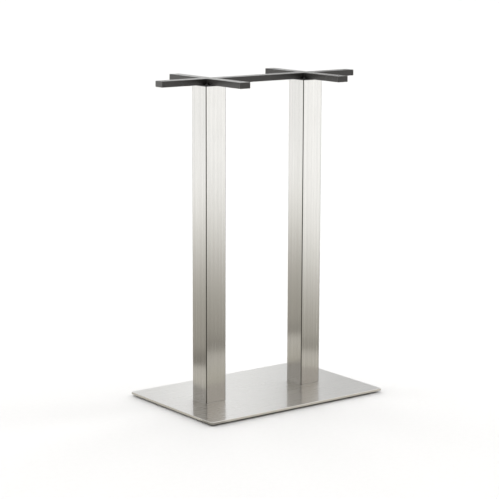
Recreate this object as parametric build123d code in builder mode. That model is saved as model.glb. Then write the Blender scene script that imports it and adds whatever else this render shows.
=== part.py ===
"""Bar-height table base in millimetres.

Two square stainless columns stand on a flat weighted base plate and carry a welded
black frame that a tabletop is screwed to. The plate stands on four levelling feet.
The origin is on the floor under the middle of the base, +X runs along the long side,
+Y from front to back and +Z up. Left is -X and front is -Y.
"""

import os

from build123d import *

os.makedirs("parts", exist_ok=True)

# ---- Driving dimensions ----------------------------------------------------------------

total_height = 1100.0
base_length = 725.0
base_depth = 475.0
base_corner = 5.0
floor_gap = 6.0

column_spacing = 405.0
column_width = 80.0
column_wall = 1.5
column_corner = 2.5
column_end_bevel = 0.8

rail_length = 800.0
crossbar_span = 400.0
bar_width = 40.0
bar_height = 20.0
bar_wall = 2.0
bar_corner = 1.5

# Base plate: a steel slab under a folded stainless cover.
slab_thickness = 6.0
cover_sheet = 1.5
cover_edge_radius = 1.4
slab_side_gap = 0.25

# Plates welded inside each column, and the frame's plate that rests on its top.
column_foot_thickness = 10.0
column_head_thickness = 6.0
inner_plate_gap = 0.2
mounting_plate_thickness = 3.0

# Countersunk M8 screws, from under the slab into the foot plate of a column.
base_screw_spacing = 50.0
base_screw_radius = 4.0
base_screw_length = 16.0
base_screw_head_radius = 7.7
base_screw_sink = 0.25
base_hole_radius = 4.5
base_sink_radius = 8.0
sink_angle = 90.0

# Button-head M6 screws, from the mounting plate into the head plate of a column.
frame_screw_spacing = 56.0
frame_screw_radius = 3.0
frame_screw_length = 12.0
frame_head_radius = 5.25
frame_head_height = 3.3
frame_head_rim = 0.8
frame_crown_radius = 2.4
frame_crown_curve = 4.5
frame_hole_radius = 3.3
washer_radius = 6.0
washer_thickness = 1.6

# Holes through the frame for the tabletop's screws.
top_hole_radius = 3.5
rail_hole_spacing = 750.0
crossbar_hole_spacing = 350.0

# End plugs of the frame tubes.
plug_face_thickness = 3.0
plug_depth = 12.0
plug_wall = 1.5
plug_gap = 0.15
plug_edge = 1.4

# Levelling feet: an M8 stem turns in the slab and in a swivelling pad.
foot_inset = 45.0
thread_gap = 0.05
thread_radius = 4.0
thread_top = 11.7
flange_across_flats = 13.0
flange_bottom = 3.5
flange_top = 5.8
neck_radius = 3.5
button_radius = 5.0
button_bottom = 1.8
button_top = 2.5
pad_radius = 15.0
pad_top = 3.4
pad_bevel = 0.7
pocket_bottom = 1.7
pocket_top = 2.58
pocket_gap = 0.08
sole_radius = 13.0
sole_thickness = 1.0
sole_recess = 0.5

# Hexagon sockets, as shares of the screw's radius and of its head's height.
socket_width_ratio = 0.62
socket_depth_ratio = 0.6
tapped_gap = 0.05

# ---- Worked-out levels and places ------------------------------------------------------

slab_bottom = floor_gap
slab_top = slab_bottom + slab_thickness
column_bottom = slab_top + cover_sheet
frame_bottom = total_height - bar_height
column_top = frame_bottom - mounting_plate_thickness
column_length = column_top - column_bottom

column_places = {"left": -column_spacing / 2, "right": column_spacing / 2}
foot_places = {
    "front_left": (foot_inset - base_length / 2, foot_inset - base_depth / 2),
    "front_right": (base_length / 2 - foot_inset, foot_inset - base_depth / 2),
    "back_left": (foot_inset - base_length / 2, base_depth / 2 - foot_inset),
    "back_right": (base_length / 2 - foot_inset, base_depth / 2 - foot_inset),
}
base_screw_places = [
    (x + dx * base_screw_spacing / 2, dy * base_screw_spacing / 2)
    for x in column_places.values()
    for dx in (-1, 1)
    for dy in (-1, 1)
]


def save(piece, name):
    """Labels a finished sub-part and writes it as its own STEP file."""
    piece.part.label = name
    export_step(piece.part, f"parts/{name}.step")


def seen_from_below(x, y, z):
    """A plane at a point whose normal points down, for holes made from the underside."""
    return Plane(origin=(x, y, z), x_dir=(1, 0, 0), z_dir=(0, 0, -1))


# ---- Base plate ------------------------------------------------------------------------

side_inset = cover_sheet + slab_side_gap

with BuildPart() as ballast_plate:
    with BuildSketch(Plane.XY.offset(slab_bottom)):
        RectangleRounded(
            base_length - 2 * side_inset,
            base_depth - 2 * side_inset,
            base_corner - side_inset,
        )
    extrude(amount=slab_thickness)
    with Locations([seen_from_below(x, y, slab_bottom) for x, y in base_screw_places]):
        CounterSinkHole(base_hole_radius, base_sink_radius, counter_sink_angle=sink_angle)
    with Locations([(x, y, slab_top) for x, y in foot_places.values()]):
        Hole(thread_radius + thread_gap)
save(ballast_plate, "ballast_plate")

with BuildPart() as base_cover:
    with BuildSketch(Plane.XY.offset(slab_bottom)):
        RectangleRounded(base_length, base_depth, base_corner)
    extrude(amount=slab_thickness + cover_sheet)
    rim = base_cover.faces().sort_by(Axis.Z)[-1].edges()
    fillet(rim, cover_edge_radius)
    with BuildSketch(Plane.XY.offset(slab_bottom)):
        RectangleRounded(
            base_length - 2 * cover_sheet,
            base_depth - 2 * cover_sheet,
            base_corner - cover_sheet,
        )
    extrude(amount=slab_thickness, mode=Mode.SUBTRACT)
    with Locations([(x, y, column_bottom) for x, y in base_screw_places]):
        Hole(base_hole_radius)
save(base_cover, "base_cover")

# ---- Columns and the plates welded into their ends -------------------------------------

column_bore = column_width - 2 * column_wall
inner_plate_width = column_bore - 2 * inner_plate_gap

for side, x in column_places.items():
    with BuildPart() as column:
        with BuildSketch(Plane((x, 0, column_bottom))):
            RectangleRounded(column_width, column_width, column_corner)
            RectangleRounded(
                column_bore,
                column_bore,
                column_corner - column_wall,
                mode=Mode.SUBTRACT,
            )
        extrude(amount=column_length)
        cut_ends = column.faces().filter_by(Axis.Z)
        chamfer([edge for end in cut_ends for edge in end.outer_wire().edges()], column_end_bevel)
    save(column, f"column_{side}")

    with BuildPart() as foot_plate:
        with BuildSketch(Plane((x, 0, column_bottom))):
            RectangleRounded(inner_plate_width, inner_plate_width, column_corner)
            with GridLocations(base_screw_spacing, base_screw_spacing, 2, 2):
                Circle(base_screw_radius + tapped_gap, mode=Mode.SUBTRACT)
        extrude(amount=column_foot_thickness)
    save(foot_plate, f"column_foot_plate_{side}")

    with BuildPart() as head_plate:
        with BuildSketch(Plane((x, 0, column_top))):
            RectangleRounded(inner_plate_width, inner_plate_width, column_corner)
            with GridLocations(frame_screw_spacing, frame_screw_spacing, 2, 2):
                Circle(frame_screw_radius + tapped_gap, mode=Mode.SUBTRACT)
        extrude(amount=-column_head_thickness)
    save(head_plate, f"column_head_plate_{side}")

# ---- Countersunk screws that hold the columns to the slab -------------------------------

base_screw_head = base_screw_head_radius - base_screw_radius
base_screw_bottom = slab_bottom + base_screw_sink

with BuildPart() as base_screw:
    with BuildSketch(Plane.XZ):
        with BuildLine():
            Polyline(
                (0, base_screw_bottom),
                (base_screw_head_radius, base_screw_bottom),
                (base_screw_radius, base_screw_bottom + base_screw_head),
                (base_screw_radius, base_screw_bottom + base_screw_length),
                (0, base_screw_bottom + base_screw_length),
                close=True,
            )
        make_face()
    revolve(axis=Axis.Z)
    with BuildSketch(Plane.XY.offset(base_screw_bottom)):
        RegularPolygon(base_screw_radius * socket_width_ratio, 6, major_radius=False)
    extrude(amount=base_screw_head * socket_depth_ratio, mode=Mode.SUBTRACT)

for side, x in column_places.items():
    with BuildPart() as base_screws:
        with Locations(Location((x, 0, 0))):
            with GridLocations(base_screw_spacing, base_screw_spacing, 2, 2):
                add(base_screw.part)
    save(base_screws, f"base_screws_{side}")

# ---- Frame: one long rail, four crossbar halves welded to its sides, end plugs ----------

rail_tube_length = rail_length - 2 * plug_face_thickness
crossbar_tube_length = (crossbar_span - bar_width) / 2 - plug_face_thickness


def tube_section():
    """The frame tube's hollow section, drawn in the plane of the open sketch."""
    RectangleRounded(bar_width, bar_height, bar_corner)
    Rectangle(bar_width - 2 * bar_wall, bar_height - 2 * bar_wall, mode=Mode.SUBTRACT)


bar_middle = frame_bottom + bar_height / 2

with BuildPart() as frame_rail:
    rail_start = Plane((-rail_tube_length / 2, 0, bar_middle), x_dir=(0, 1, 0), z_dir=(1, 0, 0))
    with BuildSketch(rail_start):
        tube_section()
    extrude(amount=rail_tube_length)
    with Locations(
        (-rail_hole_spacing / 2, 0, total_height),
        (rail_hole_spacing / 2, 0, total_height),
    ):
        Hole(top_hole_radius)
save(frame_rail, "frame_rail")

with BuildPart() as plug:
    with BuildSketch(Plane.XY):
        RectangleRounded(bar_width, bar_height, bar_corner)
    extrude(amount=plug_face_thickness)
    fillet(plug.faces().sort_by(Axis.Z)[-1].edges(), plug_edge)
    with BuildSketch(Plane.XY):
        Rectangle(
            bar_width - 2 * (bar_wall + plug_gap),
            bar_height - 2 * (bar_wall + plug_gap),
        )
        Rectangle(
            bar_width - 2 * (bar_wall + plug_gap + plug_wall),
            bar_height - 2 * (bar_wall + plug_gap + plug_wall),
            mode=Mode.SUBTRACT,
        )
    extrude(amount=-plug_depth)


def plug_at(place):
    """The end plug with its face outwards along the given plane's normal."""
    with BuildPart() as placed:
        with Locations(place):
            add(plug.part)
    return placed


for side, sign in (("left", -1), ("right", 1)):
    tube_end = Plane(
        (sign * rail_tube_length / 2, 0, bar_middle), x_dir=(0, 1, 0), z_dir=(sign, 0, 0)
    )
    save(plug_at(tube_end), f"rail_plug_{side}")

for side, x in column_places.items():
    for end, sign in (("front", -1), ("back", 1)):
        with BuildPart() as crossbar:
            tube_start = Plane(
                (x, sign * bar_width / 2, bar_middle), x_dir=(1, 0, 0), z_dir=(0, sign, 0)
            )
            with BuildSketch(tube_start):
                tube_section()
            extrude(amount=crossbar_tube_length)
            with Locations((x, sign * crossbar_hole_spacing / 2, total_height)):
                Hole(top_hole_radius)
        save(crossbar, f"crossbar_{end}_{side}")

        tube_end = tube_start.offset(crossbar_tube_length)
        save(plug_at(tube_end), f"crossbar_plug_{end}_{side}")

# ---- Mounting plates under the frame, with their screws ---------------------------------

with BuildPart() as frame_screw:
    with BuildSketch(Plane.XZ):
        with BuildLine():
            Polyline(
                (frame_crown_radius, frame_head_height),
                (0, frame_head_height),
                (0, -frame_screw_length),
                (frame_screw_radius, -frame_screw_length),
                (frame_screw_radius, 0),
                (frame_head_radius, 0),
                (frame_head_radius, frame_head_rim),
            )
            RadiusArc(
                (frame_head_radius, frame_head_rim),
                (frame_crown_radius, frame_head_height),
                frame_crown_curve,
            )
        make_face()
    revolve(axis=Axis.Z)
    with BuildSketch(Plane.XY.offset(frame_head_height)):
        RegularPolygon(frame_screw_radius * socket_width_ratio, 6, major_radius=False)
    extrude(amount=-frame_head_height * socket_depth_ratio, mode=Mode.SUBTRACT)

washer_top = frame_bottom + washer_thickness

for side, x in column_places.items():
    with BuildPart() as mounting_plate:
        with BuildSketch(Plane((x, 0, column_top))):
            RectangleRounded(column_width, column_width, column_corner)
            with GridLocations(frame_screw_spacing, frame_screw_spacing, 2, 2):
                Circle(frame_hole_radius, mode=Mode.SUBTRACT)
        extrude(amount=mounting_plate_thickness)
    save(mounting_plate, f"mounting_plate_{side}")

    with BuildPart() as frame_washers:
        with BuildSketch(Plane((x, 0, frame_bottom))):
            with GridLocations(frame_screw_spacing, frame_screw_spacing, 2, 2):
                Circle(washer_radius)
                Circle(frame_hole_radius, mode=Mode.SUBTRACT)
        extrude(amount=washer_thickness)
    save(frame_washers, f"frame_washers_{side}")

    with BuildPart() as frame_screws:
        with Locations(Location((x, 0, washer_top))):
            with GridLocations(frame_screw_spacing, frame_screw_spacing, 2, 2):
                add(frame_screw.part)
    save(frame_screws, f"frame_screws_{side}")

# ---- Levelling feet, screwed fully in ---------------------------------------------------

for corner, (x, y) in foot_places.items():
    foot_axis = Axis((x, y, 0), (0, 0, 1))
    foot_section = Plane((x, y, 0), x_dir=(1, 0, 0), z_dir=(0, -1, 0))

    with BuildPart() as foot_stem:
        with BuildSketch(foot_section):
            with BuildLine():
                Polyline(
                    (0, button_bottom),
                    (button_radius, button_bottom),
                    (button_radius, button_top),
                    (neck_radius, button_top),
                    (neck_radius, flange_top),
                    (thread_radius, flange_top),
                    (thread_radius, thread_top),
                    (0, thread_top),
                    close=True,
                )
            make_face()
        revolve(axis=foot_axis)
        with BuildSketch(Plane((x, y, flange_bottom))):
            RegularPolygon(flange_across_flats / 2, 6, major_radius=False)
        extrude(amount=flange_top - flange_bottom)
    save(foot_stem, f"foot_stem_{corner}")

    with BuildPart() as foot_pad:
        with BuildSketch(foot_section):
            with BuildLine():
                Polyline(
                    (0, sole_thickness),
                    (sole_radius, sole_thickness),
                    (sole_radius, sole_thickness - sole_recess),
                    (pad_radius, sole_thickness - sole_recess),
                    (pad_radius, pad_top - pad_bevel),
                    (pad_radius - pad_bevel, pad_top),
                    (neck_radius + pocket_gap, pad_top),
                    (neck_radius + pocket_gap, pocket_top),
                    (button_radius + pocket_gap, pocket_top),
                    (button_radius + pocket_gap, pocket_bottom),
                    (0, pocket_bottom),
                    close=True,
                )
            make_face()
        revolve(axis=foot_axis)
    save(foot_pad, f"foot_pad_{corner}")

    with BuildPart() as foot_sole:
        with BuildSketch(Plane((x, y, 0))):
            Circle(sole_radius)
        extrude(amount=sole_thickness)
    save(foot_sole, f"foot_sole_{corner}")
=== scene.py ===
"""Looks for the bar-height table base.

Two brushed stainless columns stand on a flat stainless-covered plate and carry a
black powder-coated frame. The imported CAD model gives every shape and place; this
script gives the materials, the small welded and threaded details, the studio and the
camera. Lengths are in metres, +Z is up, left is -X and the front is -Y.
"""

import math

import bmesh
import bpy
from mathutils import Matrix, Vector


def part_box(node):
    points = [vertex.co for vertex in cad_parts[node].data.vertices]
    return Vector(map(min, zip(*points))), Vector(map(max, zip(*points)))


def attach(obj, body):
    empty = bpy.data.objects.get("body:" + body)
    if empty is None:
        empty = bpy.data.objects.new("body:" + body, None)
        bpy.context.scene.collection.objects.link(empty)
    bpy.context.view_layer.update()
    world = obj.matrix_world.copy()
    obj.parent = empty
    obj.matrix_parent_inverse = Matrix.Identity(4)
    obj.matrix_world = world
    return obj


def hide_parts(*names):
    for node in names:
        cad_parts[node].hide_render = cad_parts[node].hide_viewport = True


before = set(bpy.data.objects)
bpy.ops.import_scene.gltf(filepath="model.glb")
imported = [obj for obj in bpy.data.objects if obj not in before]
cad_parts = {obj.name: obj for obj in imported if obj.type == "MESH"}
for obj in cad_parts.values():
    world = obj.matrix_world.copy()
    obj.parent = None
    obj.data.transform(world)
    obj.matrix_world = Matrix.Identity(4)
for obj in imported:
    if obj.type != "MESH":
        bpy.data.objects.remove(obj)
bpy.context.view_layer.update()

SIDES = ("left", "right")
CORNERS = ("front_left", "front_right", "back_left", "back_right")
MM = 0.001


# ---- Shader building ---------------------------------------------------------------


class Shading:
    """A node tree, with short calls for the nodes that this scene uses.

    Where a call takes a value, it is a number, a vector, a colour or a node's output.
    """

    def __init__(self, tree, coordinates):
        self.nodes = tree.nodes
        self.links = tree.links
        self.place = self.node("ShaderNodeTexCoord").outputs[coordinates]

    def put(self, value, socket):
        """Gives a socket a value."""
        if isinstance(value, bpy.types.NodeSocket):
            self.links.new(value, socket)
        elif socket.type == "RGBA":
            socket.default_value = (*value, 1.0)
        else:
            socket.default_value = value

    def node(self, kind, *values, **settings):
        """A new node with these settings, and these values in its first inputs."""
        node = self.nodes.new(kind)
        for name, setting in settings.items():
            setattr(node, name, setting)
        for socket, value in zip(node.inputs, values):
            self.put(value, socket)
        return node

    def math(self, operation, *values, clamp=False):
        node = self.node("ShaderNodeMath", *values, operation=operation, use_clamp=clamp)
        return node.outputs[0]

    def vector(self, operation, *values):
        outputs = self.node("ShaderNodeVectorMath", *values, operation=operation).outputs
        return outputs["Value" if operation in ("LENGTH", "DOT_PRODUCT") else "Vector"]

    def axes(self, value):
        """A vector's X, Y and Z."""
        return tuple(self.node("ShaderNodeSeparateXYZ", value).outputs)

    def spread(self, value, low, high, to_low=0.0, to_high=1.0):
        """Eases from to_low to to_high while value goes from low to high."""
        node = self.node("ShaderNodeMapRange", value, low, high, to_low, to_high)
        node.interpolation_type = "SMOOTHSTEP"
        return node.outputs[0]

    def mix(self, factor, first, second):
        """Colour: first where factor is 0, second where it is 1."""
        node = self.node("ShaderNodeMix", factor, data_type="RGBA")
        colours = (socket for socket in node.inputs if socket.type == "RGBA")
        for socket, value in zip(colours, (first, second)):
            self.put(value, socket)
        return next(socket for socket in node.outputs if socket.type == "RGBA")

    def mix_shaders(self, factor, first, second):
        return self.node("ShaderNodeMixShader", factor, first, second).outputs[0]

    def ramp(self, value, stops):
        """A colour by value, over stops given as (value, colour)."""
        start, end = stops[0][0], stops[-1][0]
        share = self.math("DIVIDE", self.math("SUBTRACT", value, start), end - start, clamp=True)
        node = self.node("ShaderNodeValToRGB", share)
        elements = node.color_ramp.elements
        elements[0].color, elements[1].color = (*stops[0][1], 1.0), (*stops[-1][1], 1.0)
        for place, colour in stops[1:-1]:
            elements.new((place - start) / (end - start)).color = (*colour, 1.0)
        return node.outputs["Color"]

    def ramp_along(self, direction, way, stops):
        """A colour by how far direction points along way, from -1 to 1."""
        return self.ramp(self.vector("DOT_PRODUCT", direction, way), stops)


class Surface(Shading):
    """A node material, built on the place on its object."""

    def __init__(self, name):
        self.material = bpy.data.materials.new(name)
        self.material.use_nodes = True
        super().__init__(self.material.node_tree, "Object")
        self.shader = self.nodes["Principled BSDF"]
        self.output = self.nodes["Material Output"]

    def set(self, **values):
        """Sets the shader's own sockets, named with underscores for spaces."""
        for name, value in values.items():
            self.put(value, self.shader.inputs[name.replace("_", " ")])

    def noise(self, per_metre, detail=2.0, roughness=0.5, distortion=0.0):
        """Noise from 0 to 1, with one number of cells per metre, or one for each axis."""
        if isinstance(per_metre, float):
            per_metre = (per_metre,) * 3
        node = self.node("ShaderNodeTexNoise", self.vector("MULTIPLY", self.place, per_metre))
        numbers = {"Scale": 1.0, "Detail": detail, "Roughness": roughness, "Distortion": distortion}
        for name, number in numbers.items():
            node.inputs[name].default_value = number
        return node.outputs[0]

    def around(self, middle, *parts):
        """middle plus each (factor, swing) pair's swing, where a factor of 0.5 adds nothing."""
        total = middle
        for factor, swing in parts:
            total = self.math("ADD", total, self.math("MULTIPLY_ADD", factor, swing, -swing / 2))
        return total

    def bump(self, height, strength, distance, normal=None):
        node = self.node("ShaderNodeBump")
        node.inputs["Strength"].default_value = strength
        node.inputs["Distance"].default_value = distance
        self.put(height, node.inputs["Height"])
        if normal is not None:
            self.put(normal, node.inputs["Normal"])
        return node.outputs["Normal"]


def shade(tint, factor):
    """A colour made lighter or darker."""
    return tuple(min(1.0, part * factor) for part in tint)


# ---- Materials ---------------------------------------------------------------------

STEEL_TINT = (0.636, 0.631, 0.619)
# Painted shade: the columns' corners are darkened from the first distance to the second,
# inward from the faces, in place of the dark reflection on their rounded bends.
CORNER_REACH = (2.7 * MM, 2.1 * MM)
CORNER_PAINTED_SHADE = (0.13, 0.125, 0.115)


def brushed_steel(name, scratches, bands, rough_way, turn, roughness, anisotropy, polish):
    """Satin brushed stainless, as a surface and its colour.

    scratches and bands are the streaks' cells per metre on each axis, fine and wide.
    rough_way is the direction that the scratches scatter light in, turned by turn.
    roughness is that of the smooth metal between the scratches, and of the scratches.
    polish is how much of a sharper gloss lies over them.
    """
    s = Surface(name)
    fine = s.noise(scratches, detail=3.0, roughness=0.6)
    wide = s.spread(s.noise(bands, detail=3.0, roughness=0.6), 0.30, 0.70)
    smudges = s.noise(5.0, detail=3.0, roughness=0.6, distortion=0.4)
    tone = s.around(0.5, (fine, 0.5), (wide, 0.4), (smudges, 0.2))
    colour = s.mix(tone, shade(STEEL_TINT, 0.90), shade(STEEL_TINT, 1.10))
    scratched = s.spread(fine, 0.46, 0.60, *roughness)
    s.set(
        Base_Color=colour,
        Metallic=1.0,
        Roughness=s.around(scratched, (wide, 0.03), (smudges, 0.04)),
        Normal=s.bump(fine, 0.03, 0.10 * MM),
        Tangent=s.node("ShaderNodeCombineXYZ", *rough_way).outputs[0],
        Anisotropic=anisotropy,
        Anisotropic_Rotation=turn,
        Coat_Weight=polish,
        Coat_Roughness=0.05,
        Coat_IOR=3.0,
    )
    return s, colour


def upright_steel():
    """The columns: grain up and down, which scatters light sideways, and corners darkened as
    painted shade.
    """
    s, colour = brushed_steel(
        name="stainless_upright",
        scratches=(1100.0, 1100.0, 9.0),
        bands=(150.0, 150.0, 0.5),
        rough_way=(0.0, 0.0, 1.0),
        turn=0.25,
        roughness=(0.18, 0.26),
        anisotropy=0.9,
        polish=0.0,
    )
    low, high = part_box("column_right")
    middle = (low + high) / 2
    half = (high.x - low.x) / 2
    x, y, _ = s.axes(s.place)
    from_middle = s.math("ABSOLUTE", s.math("SUBTRACT", s.math("ABSOLUTE", x), middle.x))
    to_corner = s.math("MINIMUM", from_middle, s.math("ABSOLUTE", y))
    # Painted shade: a darker colour on the corners, in place of the dark reflection on their bends.
    painted_corner_shade = s.spread(to_corner, half - CORNER_REACH[0], half - CORNER_REACH[1])
    s.set(Base_Color=s.mix(painted_corner_shade, colour, CORNER_PAINTED_SHADE))
    return s.material


def flat_steel():
    """The base plate's cover: grain along its long side."""
    s, _ = brushed_steel(
        name="stainless_flat",
        scratches=(9.0, 1100.0, 9.0),
        bands=(0.6, 110.0, 0.6),
        rough_way=(0.0, 1.0, 0.02),
        turn=0.0,
        roughness=(0.28, 0.31),
        anisotropy=0.80,
        polish=1.0,
    )
    return s.material


def powder_coat():
    """Fine-textured black powder coat."""
    s = Surface("powder_coat_black")
    peel = s.noise(1500.0, detail=2.0, roughness=0.55)
    ripple = s.noise(260.0)
    drift = s.noise(9.0, detail=3.0)
    tone = s.around(0.5, (peel, 0.7), (ripple, 0.4), (drift, 0.5))
    s.set(
        Base_Color=s.mix(tone, (0.010, 0.0098, 0.0092), (0.018, 0.0176, 0.0165)),
        Roughness=s.around(0.26, (peel, 0.08), (drift, 0.06)),
        Normal=s.bump(peel, 0.22, 0.12 * MM, s.bump(ripple, 0.10, 0.30 * MM)),
    )
    return s.material


def moulded_plastic(name, dark, light, roughness, grain):
    """Black moulded plastic with a fine spark-eroded grain, of grain cells per metre."""
    s = Surface(name)
    pits = s.noise(grain, detail=2.0, roughness=0.6)
    flow = s.noise(60.0)
    s.set(
        Base_Color=s.mix(s.around(0.5, (pits, 0.8), (flow, 0.5)), dark, light),
        Roughness=s.around(roughness, (pits, 0.14), (flow, 0.06)),
        Normal=s.bump(pits, 0.25, 0.10 * MM),
    )
    return s.material


def plated_steel(name, dark, light, roughness):
    """Zinc-plated, blackened or plain small steel pieces, faintly mottled."""
    s = Surface(name)
    mottle = s.noise(420.0, detail=3.0, roughness=0.6)
    drift = s.noise(90.0)
    s.set(
        Base_Color=s.mix(s.around(0.5, (mottle, 0.9), (drift, 0.6)), dark, light),
        Metallic=1.0,
        Roughness=s.around(roughness, (mottle, 0.16), (drift, 0.08)),
        Normal=s.bump(mottle, 0.10, 0.10 * MM),
    )
    return s.material


def primed_slab():
    """The slab's underside: dark primer over hot-rolled steel, with rubbed streaks."""
    s = Surface("slab_primer")
    scale = s.noise((55.0, 38.0, 55.0), detail=5.0, roughness=0.65, distortion=0.6)
    speckle = s.noise(700.0)
    tone = s.around(0.5, (scale, 1.0), (speckle, 0.4))
    s.set(
        Base_Color=s.mix(tone, (0.030, 0.030, 0.031), (0.075, 0.073, 0.070)),
        Roughness=s.around(0.55, (scale, 0.25), (speckle, 0.1)),
        Normal=s.bump(speckle, 0.2, 0.10 * MM, s.bump(scale, 0.12, 0.40 * MM)),
    )
    return s.material


def sole_rubber():
    """Dark grey non-slip rubber."""
    s = Surface("sole_rubber")
    grain = s.noise(1100.0, detail=3.0, roughness=0.7)
    dust = s.noise(130.0, detail=3.0)
    tone = s.around(0.5, (grain, 0.6), (dust, 0.7))
    s.set(
        Base_Color=s.mix(tone, (0.055, 0.055, 0.058), (0.115, 0.113, 0.110)),
        Roughness=s.around(0.78, (grain, 0.12), (dust, 0.12)),
        Normal=s.bump(grain, 0.3, 0.10 * MM),
    )
    return s.material


looks = {
    "upright": upright_steel(),
    "flat": flat_steel(),
    "powder": powder_coat(),
    "plug": moulded_plastic(
        name="plug_plastic_black",
        dark=(0.011, 0.011, 0.0105),
        light=(0.024, 0.0235, 0.0225),
        roughness=0.32,
        grain=1900.0,
    ),
    "nylon": moulded_plastic(
        name="foot_nylon_black",
        dark=(0.018, 0.018, 0.019),
        light=(0.034, 0.034, 0.035),
        roughness=0.40,
        grain=1300.0,
    ),
    "inner": plated_steel(
        name="inner_mild_steel",
        dark=(0.22, 0.21, 0.20),
        light=(0.36, 0.35, 0.33),
        roughness=0.48,
    ),
    "zinc": plated_steel(
        name="zinc_plate",
        dark=(0.50, 0.51, 0.53),
        light=(0.70, 0.71, 0.72),
        roughness=0.30,
    ),
    "black_oxide": plated_steel(
        name="black_oxide",
        dark=(0.030, 0.030, 0.032),
        light=(0.060, 0.060, 0.062),
        roughness=0.38,
    ),
    "primer": primed_slab(),
    "rubber": sole_rubber(),
}

# Which look a CAD node gets: the first one whose start its name has.
LOOK_STARTS = (
    ("base_cover", "flat"),
    ("column_foot_plate", "inner"),
    ("column_head_plate", "inner"),
    ("column", "upright"),
    ("ballast_plate", "primer"),
    ("base_screws", "zinc"),
    ("frame_screws", "black_oxide"),
    ("frame_washers", "black_oxide"),
    ("rail_plug", "plug"),
    ("crossbar_plug", "plug"),
    ("foot_stem", "zinc"),
    ("foot_pad", "nylon"),
    ("foot_sole", "rubber"),
    ("", "powder"),
)

for node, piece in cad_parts.items():
    look = next(look for start, look in LOOK_STARTS if node.startswith(start))
    for material_slot in piece.material_slots:
        material_slot.material = looks[look]


# ---- Blender-made details ----------------------------------------------------------

SHARP_ANGLE = math.radians(38.0)


def mesh_piece(name, rings, look):
    """A closed smooth piece through rings of points, all of one length, with flat ends."""
    mesh = bmesh.new()
    loops = [[mesh.verts.new(point) for point in ring] for ring in rings]
    count = len(loops[0])
    for low, high in zip(loops, loops[1:]):
        for i in range(count):
            j = (i + 1) % count
            mesh.faces.new((low[i], low[j], high[j], high[i]))
    mesh.faces.new(loops[0])
    mesh.faces.new(loops[-1])
    bmesh.ops.recalc_face_normals(mesh, faces=mesh.faces)
    data = bpy.data.meshes.new(name)
    mesh.to_mesh(data)
    mesh.free()
    data.materials.append(looks[look])
    data.set_sharp_from_angle(angle=SHARP_ANGLE)
    piece = bpy.data.objects.new(name, data)
    bpy.context.scene.collection.objects.link(piece)
    return piece


# The beads are made in rings, BEAD_RING apart. Each ripple is BEAD_RIPPLE long, and
# BEAD_SWELL of their size high. Their ends have BEAD_END of that size, their face bulges
# by BEAD_BULGE of it, and they sink into the metal by BEAD_SINK.
BEAD_LEG = 3.0 * MM
BEAD_SINK = 0.3 * MM
BEAD_BULGE = 0.16
BEAD_RIPPLE = 2.2 * MM
BEAD_SWELL = 0.06
BEAD_END = 0.55
BEAD_RING = 0.55 * MM
BEAD_ARC_STEPS = 6


def weld_bead(name, corner, length, out_x, out_y):
    """A fillet weld in an inside corner, convex, with the ripples of its passes.

    The corner line runs up from corner for length. out_x and out_y are 1 or -1, and say
    which way the two welded faces run from it.
    """
    steps = round(length / BEAD_RING)
    rings = []
    for step in range(steps + 1):
        travel = length * step / steps
        taper = min(1.0, BEAD_END + travel / BEAD_LEG, BEAD_END + (length - travel) / BEAD_LEG)
        swell = BEAD_SWELL * abs(math.sin(math.pi * travel / BEAD_RIPPLE))
        size = BEAD_LEG * taper * (1 - BEAD_SWELL + swell)
        outline = [(-BEAD_SINK, -BEAD_SINK), (size, -BEAD_SINK)]
        for i in range(BEAD_ARC_STEPS + 1):
            share = i / BEAD_ARC_STEPS
            lift = BEAD_BULGE * size * math.sin(math.pi * share)
            outline.append((size * (1 - share) + lift, size * share + lift))
        outline.append((-BEAD_SINK, size))
        rings.append([corner + Vector((out_x * a, out_y * b, travel)) for a, b in outline])
    bead = mesh_piece(name, rings, "powder")
    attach(bead, "base")


def frame_welds():
    """Upright beads in the corners where the arms cross, a little below the frame's top."""
    rail_low, rail_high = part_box("frame_rail")
    bottom = rail_low.z + BEAD_RIPPLE / 2
    length = rail_high.z - rail_low.z - BEAD_RIPPLE
    for side in SIDES:
        low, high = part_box(f"crossbar_front_{side}")
        for end, y, out_y in (("front", rail_low.y, -1), ("back", rail_high.y, 1)):
            for hand, x, out_x in (("outer_left", low.x, -1), ("outer_right", high.x, 1)):
                corner = Vector((x, y, bottom))
                weld_bead(f"weld_{end}_{side}_{hand}", corner, length, out_x, out_y)


frame_welds()


TURN_STEPS = 72


def turned(name, middle, profile, look, shape=None):
    """A turned piece round a vertical axis through middle, from (radius, height) points.

    shape(angle, radius, height) may give another radius, for flats and threads.
    """
    rings = []
    for radius, height in profile:
        ring = []
        for step in range(TURN_STEPS):
            angle = 2 * math.pi * step / TURN_STEPS
            reach = shape(angle, radius, height) if shape else radius
            x = middle.x + reach * math.cos(angle)
            y = middle.y + reach * math.sin(angle)
            ring.append((x, y, height))
        rings.append(ring)
    return mesh_piece(name, rings, look)


# The foot's screw, from its button up. Radii are of the turned shape, before the flats
# and the thread are cut, and FLANGE_LOW and FLANGE_HIGH are heights above the floor. A
# bevel is (how far in, how far along), and FLANGE_FLAT is from the axis to a flat.
BUTTON_RADIUS = 5.0 * MM
BUTTON_HEIGHT = 0.7 * MM
BUTTON_BEVEL = (0.6 * MM, 0.25 * MM)
NECK_RADIUS = 3.5 * MM
FLANGE_LOW = 3.5 * MM
FLANGE_HIGH = 5.8 * MM
FLANGE_RADIUS = 7.6 * MM
FLANGE_BEVEL = (0.7 * MM, 0.4 * MM)
FLANGE_FLAT = 6.5 * MM
THREAD_RADIUS = 4.0 * MM
THREAD_PITCH = 1.25 * MM
THREAD_DEPTH = 0.7 * MM
THREAD_STEEPNESS = 1.25
THREAD_TIP = 0.8 * MM
THREAD_STEP = THREAD_PITCH / 10


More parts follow.
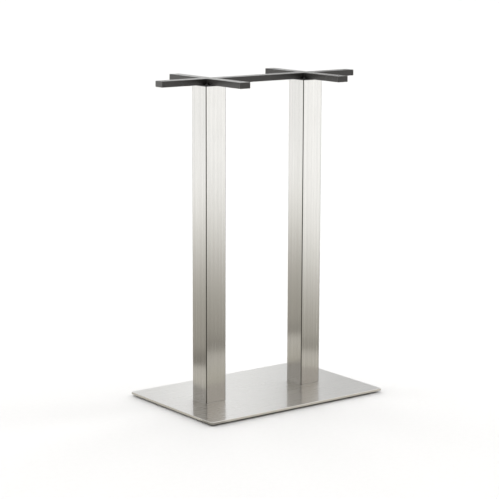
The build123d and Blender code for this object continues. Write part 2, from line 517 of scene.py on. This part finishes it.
def flats_and_thread(angle, radius, height):
    """The foot's screw: the flange's six flats, and the thread above it."""
    if radius > THREAD_RADIUS and height >= FLANGE_LOW:
        from_flat = angle % (math.pi / 3) - math.pi / 6
        return min(radius, FLANGE_FLAT / math.cos(from_flat))
    if height > FLANGE_HIGH:
        turn = (height / THREAD_PITCH - angle / (2 * math.pi)) % 1.0
        depth = THREAD_DEPTH * min(1.0, THREAD_STEEPNESS * abs(2 * turn - 1))
        return min(radius, THREAD_RADIUS - depth)
    return radius


def foot_stem(corner):
    """The foot's screw: a button, a neck, a hexagon flange and an M8 thread."""
    low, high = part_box(f"foot_stem_{corner}")
    profile = [
        (BUTTON_RADIUS - BUTTON_BEVEL[0], low.z),
        (BUTTON_RADIUS, low.z + BUTTON_BEVEL[1]),
        (BUTTON_RADIUS, low.z + BUTTON_HEIGHT),
        (NECK_RADIUS, low.z + BUTTON_HEIGHT),
        (NECK_RADIUS, FLANGE_LOW),
        (FLANGE_RADIUS - FLANGE_BEVEL[0], FLANGE_LOW),
        (FLANGE_RADIUS, FLANGE_LOW + FLANGE_BEVEL[1]),
        (FLANGE_RADIUS, FLANGE_HIGH - FLANGE_BEVEL[1]),
        (FLANGE_RADIUS - FLANGE_BEVEL[0], FLANGE_HIGH),
        (THREAD_RADIUS, FLANGE_HIGH),
    ]
    steps = round((high.z - FLANGE_HIGH) / THREAD_STEP)
    for step in range(1, steps + 1):
        height = FLANGE_HIGH + (high.z - FLANGE_HIGH) * step / steps
        tip = THREAD_RADIUS - THREAD_TIP + (high.z - height)
        profile.append((min(THREAD_RADIUS, tip), height))
    piece = turned(f"threaded_stem_{corner}", (low + high) / 2, profile, "zinc", flats_and_thread)
    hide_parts(f"foot_stem_{corner}")
    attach(piece, f"stem_{corner}")


SOLE_MIDDLE_LOW = 0.8 * MM
SOLE_MIDDLE_HIGH = 1.0 * MM
GROOVES = (3.0 * MM, 6.2 * MM, 9.4 * MM)
GROOVE_WIDTH = 1.4 * MM
GROOVE_DEPTH = 0.4 * MM
GROOVE_SLOPE = 0.35 * MM


def foot_sole(corner):
    """The foot's rubber disc, with round grooves in its underside and a bevelled rim."""
    low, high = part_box(f"foot_sole_{corner}")
    rim = (high.x - low.x) / 2
    profile = [(SOLE_MIDDLE_LOW, low.z)]
    for inner in GROOVES:
        outer = inner + GROOVE_WIDTH
        profile += [
            (inner, low.z),
            (inner + GROOVE_SLOPE, low.z + GROOVE_DEPTH),
            (outer - GROOVE_SLOPE, low.z + GROOVE_DEPTH),
            (outer, low.z),
        ]
    profile += [
        (rim - GROOVE_SLOPE, low.z),
        (rim, low.z + GROOVE_SLOPE),
        (rim, high.z),
        (SOLE_MIDDLE_HIGH, high.z),
    ]
    piece = turned(f"grooved_sole_{corner}", (low + high) / 2, profile, "rubber")
    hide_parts(f"foot_sole_{corner}")
    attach(piece, f"pad_{corner}")


for corner in CORNERS:
    foot_stem(corner)
    foot_sole(corner)


# ---- Studio ------------------------------------------------------------------------

# The way that the camera looks, level, and the way to its right. The studio is bright
# behind the object, dark at its sides and grey on the camera's side.
BACK_WAY = (0.6, 0.8, 0.0)
RIGHT_WAY = (0.8, -0.6, 0.0)

FLOOR_SIZE = 80.0
FLOOR_TINTS = ((0.475, 0.475, 0.475), (0.495, 0.495, 0.495))
FLOOR_GRAIN = 60.0
FLOOR_ROUGHNESS = 0.9

# What the floor sends into mirror-like surfaces. Near the object it is a lit round
# table, by the distance from the middle of the base.
TABLE_MIRRORED = (
    (0.00, (0.60, 0.570, 0.490)),
    (0.34, (0.62, 0.590, 0.510)),
    (0.60, (0.69, 0.660, 0.595)),
)
TABLE_EDGE = (0.67, 0.74)
# A painted shadow, a darker wedge, lies on it in front of the left column and widens
# towards the camera. It is given by the share of BACK_WAY in the way from its point.
WEDGE_POINT = (-0.33, -0.16, 0.0)
TABLE_PAINTED_SHADOW = (
    (-1.00, (0.50, 0.50, 0.50)),
    (-0.65, (0.55, 0.55, 0.55)),
    (-0.42, (1.00, 1.00, 1.00)),
)
# Beyond the table is the room's floor, dim near the table and on the camera's side, and
# brighter towards the room's right and back walls: by x plus ROOM_RIGHT or y over
# ROOM_BACK, whichever is more.
ROOM_RIGHT = 0.1
ROOM_BACK = 1.45
ROOM_MIRRORED = (
    (-0.45, (0.33, 0.312, 0.280)),
    (0.12, (0.31, 0.290, 0.255)),
    (0.34, (0.38, 0.355, 0.310)),
    (0.50, (0.48, 0.455, 0.400)),
    (0.80, (0.54, 0.515, 0.455)),
    (1.00, (0.61, 0.585, 0.525)),
    (1.25, (0.73, 0.705, 0.645)),
    (1.60, (0.93, 0.905, 0.850)),
    (1.90, (1.11, 1.090, 1.035)),
    (2.25, (1.285, 1.270, 1.225)),
    (2.70, (1.41, 1.400, 1.370)),
    (3.30, (1.48, 1.475, 1.455)),
)
# It is dimmer still just outside the table's edge, by distance, and at the far left, by
# x: each from one level to the other over a range.
TABLE_SHADE = (0.82, 0.98, 0.82, 1.00)
FAR_LEFT_SHADE = (-5.2, -2.8, 0.88, 1.00)

# The walls low round the studio, by the share of BACK_WAY in a direction.
WALL_ROUND = (
    (-1.00, (0.42, 0.400, 0.365)),
    (-0.66, (0.46, 0.430, 0.385)),
    (-0.38, (0.68, 0.620, 0.540)),
    (0.28, (0.30, 0.280, 0.245)),
    (0.70, (0.84, 0.825, 0.790)),
    (1.00, (1.02, 1.020, 1.010)),
)
# How they change from left to right, by the share of RIGHT_WAY.
WALL_ACROSS = (
    (-1.00, (1.00, 1.00, 1.00)),
    (-0.30, (0.88, 0.88, 0.88)),
    (-0.06, (0.74, 0.74, 0.74)),
    (-0.03, (0.98, 0.98, 0.98)),
    (0.00, (0.90, 0.90, 0.90)),
    (0.05, (0.56, 0.56, 0.56)),
    (0.30, (0.66, 0.66, 0.66)),
    (1.00, (1.00, 1.00, 1.00)),
)
# The walls are brightest at the horizon. The ceiling's light begins above them, and
# higher on the camera's side. Levels are the Z of a direction.
GLOW_LEVELS = (0.10, 0.24)
HORIZON_GLOW = 1.5
CEILING_LEVELS = (0.38, 0.78)
CAMERA_SIDE_LIFT = 0.45
CEILING_LIGHT = (1.65, 1.65, 1.65)
# What the camera itself sees of the walls and the ceiling: plain white.
SEEN_WALL = (1.1, 1.1, 1.1)

# Low lamps behind the object, in degrees from BACK_WAY: they shade the floor in front of
# the base.
BACK_LAMP_TURNS = (-70.0, -35.0, 0.0, 35.0, 70.0)
BACK_LAMP_HEIGHT = math.radians(17.0)
BACK_LAMP_WIDTH = math.radians(34.0)
BACK_LAMP_POWER = 2.2

SOFTBOX_PLACE = Vector((-1.25, 0.30, 1.35))
SOFTBOX_TARGET = Vector((-0.2, 0.05, 1.09))
SOFTBOX_SIDE = 0.5
SOFTBOX_POWER = 2.6
SOFTBOX_SPREAD = math.radians(60.0)


def floor_surface():
    """A matt white floor that mirror-like surfaces see as a lit table in a larger studio."""
    s = Surface("studio_floor")
    s.set(
        Base_Color=s.mix(s.noise(FLOOR_GRAIN), *FLOOR_TINTS),
        Roughness=FLOOR_ROUGHNESS,
        Specular_IOR_Level=0.0,
    )
    distance = s.vector("LENGTH", s.place)
    x, y, _ = s.axes(s.place)

    # Painted shadow: a darker wedge in the floor that mirror-like surfaces see.
    outward = s.vector("NORMALIZE", s.vector("SUBTRACT", s.place, WEDGE_POINT))
    painted_wedge_shadow = s.ramp_along(outward, BACK_WAY, TABLE_PAINTED_SHADOW)
    table = s.vector("MULTIPLY", s.ramp(distance, TABLE_MIRRORED), painted_wedge_shadow)
    table_glow = s.node("ShaderNodeEmission", table).outputs[0]

    to_walls = s.math("MAXIMUM", s.math("ADD", x, ROOM_RIGHT), s.math("DIVIDE", y, ROOM_BACK))
    shades = s.math("MULTIPLY", s.spread(distance, *TABLE_SHADE), s.spread(x, *FAR_LEFT_SHADE))
    room_glow = s.node("ShaderNodeEmission", s.ramp(to_walls, ROOM_MIRRORED), shades).outputs[0]

    glow = s.mix_shaders(s.spread(distance, *TABLE_EDGE), table_glow, room_glow)
    mirrored = s.node("ShaderNodeLightPath").outputs["Is Glossy Ray"]
    chosen = s.mix_shaders(mirrored, s.shader.outputs[0], glow)
    s.put(chosen, s.output.inputs["Surface"])
    return s.material


def studio_floor():
    half = FLOOR_SIZE / 2
    corners = [(-half, -half, 0.0), (half, -half, 0.0), (half, half, 0.0), (-half, half, 0.0)]
    mesh = bpy.data.meshes.new("studio_floor")
    mesh.from_pydata(corners, [], [(0, 1, 2, 3)])
    mesh.materials.append(floor_surface())
    floor = bpy.data.objects.new("studio_floor", mesh)
    bpy.context.scene.collection.objects.link(floor)


def studio_walls():
    """The walls and the ceiling, which light the object and are mirrored in it."""
    world = bpy.data.worlds.new("studio")
    bpy.context.scene.world = world
    world.use_nodes = True
    s = Shading(world.node_tree, "Generated")
    direction = s.place
    _, _, level = s.axes(direction)

    wall_round = s.ramp_along(direction, BACK_WAY, WALL_ROUND)
    wall_across = s.ramp_along(direction, RIGHT_WAY, WALL_ACROSS)
    glow = s.spread(level, *GLOW_LEVELS, HORIZON_GLOW, 1.0)
    wall = s.vector("MULTIPLY", s.vector("MULTIPLY", wall_round, wall_across), glow)

    camera_side = s.math("MINIMUM", s.vector("DOT_PRODUCT", direction, BACK_WAY), 0.0)
    lowered = s.math("MULTIPLY_ADD", camera_side, CAMERA_SIDE_LIFT, level)
    lit = s.mix(s.spread(lowered, *CEILING_LEVELS), wall, CEILING_LIGHT)
    seen = s.node("ShaderNodeLightPath").outputs["Is Camera Ray"]
    s.put(s.mix(seen, lit, SEEN_WALL), s.nodes["Background"].inputs["Color"])


def lamp(name, kind, way):
    """A new light of this kind that shines against way, and its object."""
    light = bpy.data.lights.new(name, kind)
    holder = bpy.data.objects.new(name, light)
    holder.rotation_euler = way.to_track_quat("Z", "Y").to_euler()
    bpy.context.scene.collection.objects.link(holder)
    return light, holder


def back_lamps():
    """Wide distant lamps low behind the object, which only matt surfaces see."""
    for turn in BACK_LAMP_TURNS:
        way = Matrix.Rotation(math.radians(turn), 3, "Z") @ Vector(BACK_WAY)
        way.z = math.tan(BACK_LAMP_HEIGHT)
        light, holder = lamp("back_lamp", "SUN", way)
        light.energy = BACK_LAMP_POWER
        light.angle = BACK_LAMP_WIDTH
        holder.visible_glossy = False
        holder.visible_camera = False


def left_softbox():
    """A small soft light from the left, on the frame."""
    light, holder = lamp("left_softbox", "AREA", SOFTBOX_PLACE - SOFTBOX_TARGET)
    light.size = SOFTBOX_SIDE
    light.energy = SOFTBOX_POWER
    light.spread = SOFTBOX_SPREAD
    holder.location = SOFTBOX_PLACE


studio_floor()
studio_walls()
back_lamps()
left_softbox()
bpy.context.scene.view_settings.view_transform = "Standard"


# ---- Camera ------------------------------------------------------------------------

CAMERA_PLACE = Vector((-3.563, -4.690, 1.610))
CAMERA_TURN = math.radians(-36.96)
CAMERA_TILT = math.radians(10.61)
CAMERA_ROLL = math.radians(0.18)
# Both in millimetres, as Blender takes them.
CAMERA_LENS = 127.1
CAMERA_SENSOR = 36.0
CAMERA_REACH = 200.0


def studio_camera():
    """The camera, turned left from +Y, tilted down and rolled."""
    data = bpy.data.cameras.new("camera")
    data.sensor_width = CAMERA_SENSOR
    data.lens = CAMERA_LENS
    data.clip_end = CAMERA_REACH
    camera = bpy.data.objects.new("camera", data)
    level = math.cos(CAMERA_TILT)
    ahead = Vector(
        (
            -math.sin(CAMERA_TURN) * level,
            math.cos(CAMERA_TURN) * level,
            -math.sin(CAMERA_TILT),
        )
    )
    right = Vector((math.cos(CAMERA_TURN), math.sin(CAMERA_TURN), 0.0))
    up = right.cross(ahead)
    rolled_right = math.cos(CAMERA_ROLL) * right + math.sin(CAMERA_ROLL) * up
    rolled_up = math.cos(CAMERA_ROLL) * up - math.sin(CAMERA_ROLL) * right
    turn = Matrix((rolled_right, rolled_up, -ahead)).transposed()
    camera.matrix_world = Matrix.Translation(CAMERA_PLACE) @ turn.to_4x4()
    bpy.context.scene.collection.objects.link(camera)
    bpy.context.scene.camera = camera


studio_camera()
